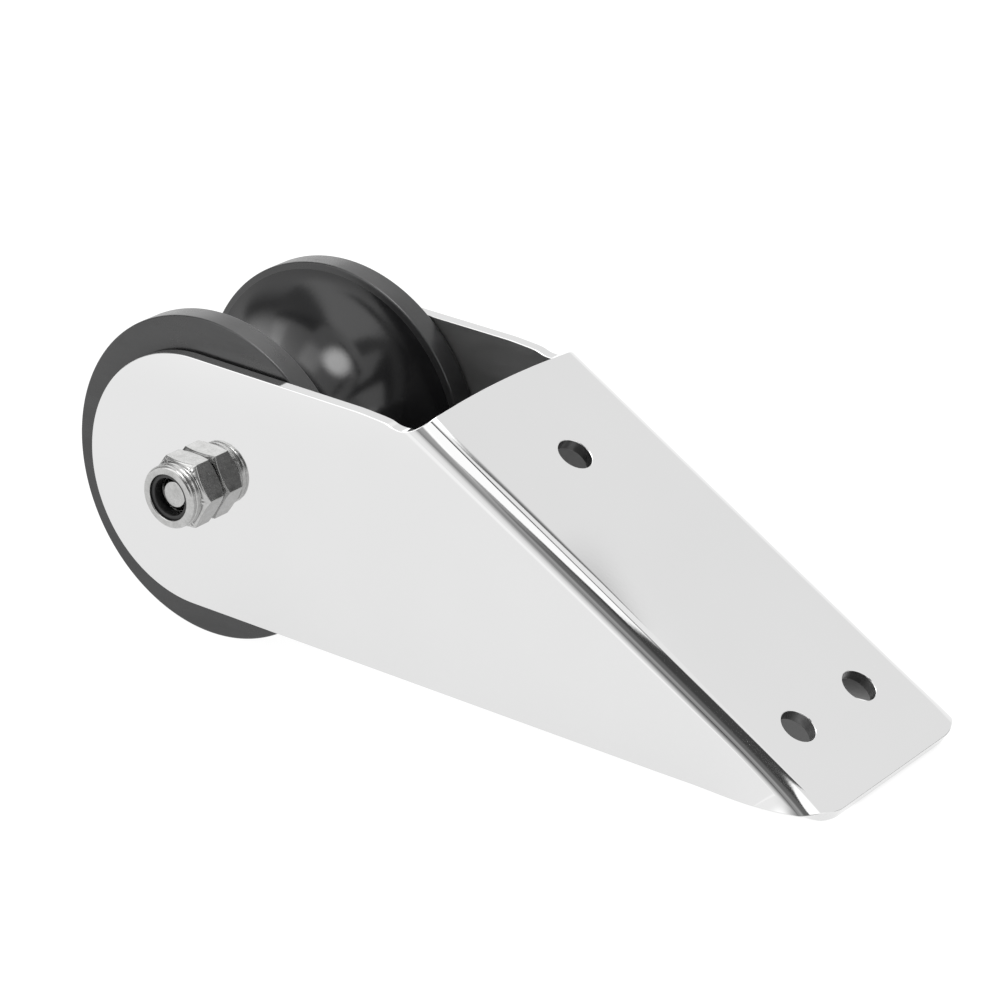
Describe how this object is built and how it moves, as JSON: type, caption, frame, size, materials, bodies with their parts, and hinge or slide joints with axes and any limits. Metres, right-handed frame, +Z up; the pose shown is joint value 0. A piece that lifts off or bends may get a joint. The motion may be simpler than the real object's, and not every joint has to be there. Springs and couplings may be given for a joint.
{
  "type": "bow roller",
  "caption": "Folded stainless bow roller bracket with two cheeks, a sloped mounting plate and a grooved black roller on a through-bolt.",
  "frame": {"origin": "on the ground that the roller and the tail edge stand on, below the middle of the bounding box", "axes": "+Z up, +X from the roller towards the tail of the mounting plate, +Y across towards the bolt's head"},
  "size_m": [0.2128, 0.0788, 0.08],
  "materials": {
    "polished_stainless": "mirror-polished stainless sheet",
    "fastener_steel": "plain cold-formed stainless",
    "black_rubber": "smooth moulded, semi-gloss",
    "black_nylon": "moulded nylon",
    "white_plastic": "turned acetal"
  },
  "bodies": {
    "frame": {"bracket": "polished_stainless", "axle_bolt": "fastener_steel", "head_washer": "fastener_steel", "lock_nut": "fastener_steel", "nylon_insert": "black_nylon"},
    "wheel": {"roller": "black_rubber", "roller_bush": "white_plastic"}
  },
  "joints": [
    {"name": "roller_spin", "type": "hinge", "parent": "frame", "child": "wheel", "pos_m": [-0.06637, 0.001, 0.04], "axis": [0, 1, 0], "continuous": true}
  ]
}
